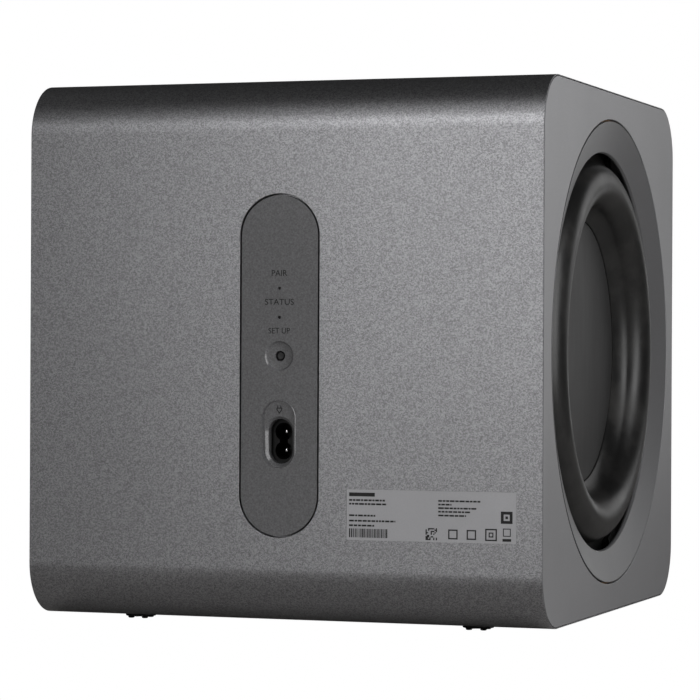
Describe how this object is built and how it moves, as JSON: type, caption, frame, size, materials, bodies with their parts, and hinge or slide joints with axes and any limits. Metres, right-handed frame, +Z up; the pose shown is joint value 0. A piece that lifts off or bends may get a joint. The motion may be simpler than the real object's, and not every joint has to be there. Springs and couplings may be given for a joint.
{
  "type": "wireless subwoofer",
  "caption": "Compact cube subwoofer with round long edges, side-firing drivers and a rear control and power panel; stands on rubber feet.",
  "frame": {"origin": "middle of the footprint, at the bottom of the feet", "axes": "+Z up, front wall faces -Y, control panel on the +Y wall, drivers face -X (left) and +X (right)"},
  "size_m": [0.249, 0.249, 0.2518],
  "materials": {
    "shell_paint": "fine metallic speckle paint on moulded shell",
    "side_paint": "smooth satin paint",
    "trim_plastic": "smooth satin paint",
    "board": "bare fibreboard",
    "felt": "needled felt",
    "foot_rubber": "matte rubber",
    "zinc_screw": "zinc plated",
    "black_screw": "black oxide",
    "label_film": "matte printed film",
    "gasket_foam": "closed-cell foam",
    "basket_metal": "black painted die casting",
    "surround_rubber": "satin moulded rubber",
    "spider_cloth": "resin-stiffened cloth",
    "plated_steel": "zinc plated",
    "ferrite": "sintered ferrite",
    "terminal_board": "phenolic board with tinned tags",
    "cone_paper": "pressed fibre, semi-matte",
    "cap_plastic": "matte moulded cap",
    "coil_copper": "enamelled copper wire on former",
    "panel_plastic": "fine-grained plastic",
    "lens_plastic": "smoked light pipe",
    "button_plastic": "matte plastic",
    "switch_plastic": "moulded plastic",
    "plunger_plastic": "natural plastic",
    "led_chip": "clear resin",
    "circuit_board": "solder-resist green",
    "inlet_plastic": "black moulded plastic",
    "pin_metal": "bright nickel plate",
    "tub_plastic": "black moulded plastic",
    "winding_tape": "taped winding with ferrite core",
    "capacitor_can": "sleeved aluminium can",
    "coil_toroid": "copper wire on powder core",
    "chip_resin": "moulded resin",
    "sink_aluminium": "extruded",
    "radio_module": "board with tinned shield can",
    "lead_insulation": "PVC insulation"
  },
  "bodies": {
    "cabinet": {"cabinet_wrap": "shell_paint", "centre_brace": "board", "damping_pads": "felt", "feet": "foot_rubber", "foot_screws": "zinc_screw", "rating_label": "label_film", "control_panel": "panel_plastic", "indicator_lenses": "lens_plastic", "push_switch": "switch_plastic", "status_leds": "led_chip", "control_board": "circuit_board", "power_inlet": "inlet_plastic", "inlet_pins": "pin_metal", "electronics_housing": "tub_plastic", "housing_gasket": "gasket_foam", "housing_screws": "zinc_screw", "amplifier_board": "circuit_board", "power_transformer": "winding_tape", "smoothing_capacitors": "capacitor_can", "output_coils": "coil_toroid", "amplifier_chip": "chip_resin", "heat_sink": "sink_aluminium", "wireless_module": "radio_module", "speaker_leads": "lead_insulation", "side_panel_left": "side_paint", "side_panel_right": "side_paint", "baffle_left": "board", "baffle_right": "board", "trim_ring_left": "trim_plastic", "trim_ring_right": "trim_plastic", "driver_gasket_left": "gasket_foam", "driver_gasket_right": "gasket_foam", "basket_left": "basket_metal", "basket_right": "basket_metal", "driver_screws_left": "black_screw", "driver_screws_right": "black_screw", "surround_left": "surround_rubber", "surround_right": "surround_rubber", "spider_left": "spider_cloth", "spider_right": "spider_cloth", "top_plate_left": "plated_steel", "top_plate_right": "plated_steel", "magnet_left": "ferrite", "magnet_right": "ferrite", "yoke_left": "plated_steel", "yoke_right": "plated_steel", "terminal_left": "terminal_board", "terminal_right": "terminal_board"},
    "driver_left": {"cone_left": "cone_paper", "centre_cap_left": "cap_plastic", "voice_coil_left": "coil_copper"},
    "driver_right": {"cone_right": "cone_paper", "centre_cap_right": "cap_plastic", "voice_coil_right": "coil_copper"},
    "set_key": {"set_button": "button_plastic", "switch_plunger": "plunger_plastic"}
  },
  "joints": [
    {"name": "driver_left_travel", "type": "slide", "parent": "cabinet", "child": "driver_left", "axis": [-1, 0, 0], "range_m": [-0.008, 0.008], "stiffness_N_per_m": 3000, "deforming": ["surround_left", "spider_left"]},
    {"name": "driver_right_travel", "type": "slide", "parent": "cabinet", "child": "driver_right", "axis": [1, 0, 0], "range_m": [-0.008, 0.008], "stiffness_N_per_m": 3000, "deforming": ["surround_right", "spider_right"]},
    {"name": "set_button_press", "type": "slide", "parent": "cabinet", "child": "set_key", "axis": [0, -1, 0], "range_m": [0, 0.0005], "stiffness_N_per_m": 800}
  ]
}
